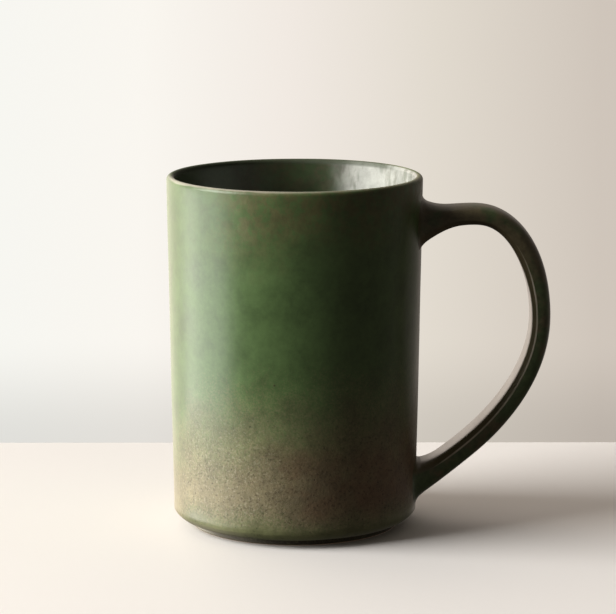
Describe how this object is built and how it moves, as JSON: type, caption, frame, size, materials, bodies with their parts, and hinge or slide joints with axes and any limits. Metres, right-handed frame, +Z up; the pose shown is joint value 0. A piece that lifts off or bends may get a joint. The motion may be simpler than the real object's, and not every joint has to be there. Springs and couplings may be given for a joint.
{
  "type": "ceramic mug",
  "caption": "Tall, slightly tapered stoneware mug with a rounded thin lip, a ring foot and a pulled strap handle on flared roots.",
  "frame": {"origin": "centre of the whole mug's footprint box, on the plane that the foot ring stands on", "axes": "+Z up the mug's axis from foot to rim, +X from the body towards the handle, +Y across the handle's width"},
  "size_m": [0.129, 0.086, 0.119],
  "materials": {
    "body_glaze": "satin reactive glaze, mottled green over iron-speckled tan",
    "handle_glaze": "the same satin glaze, thinner and browner along the edges",
    "joint_glaze": "the same satin glaze, pooled in the fillets"
  },
  "bodies": {
    "root": {"mug_body": "body_glaze", "handle": "handle_glaze", "upper_handle_joint": "joint_glaze", "lower_handle_joint": "joint_glaze"}
  },
  "joints": []
}
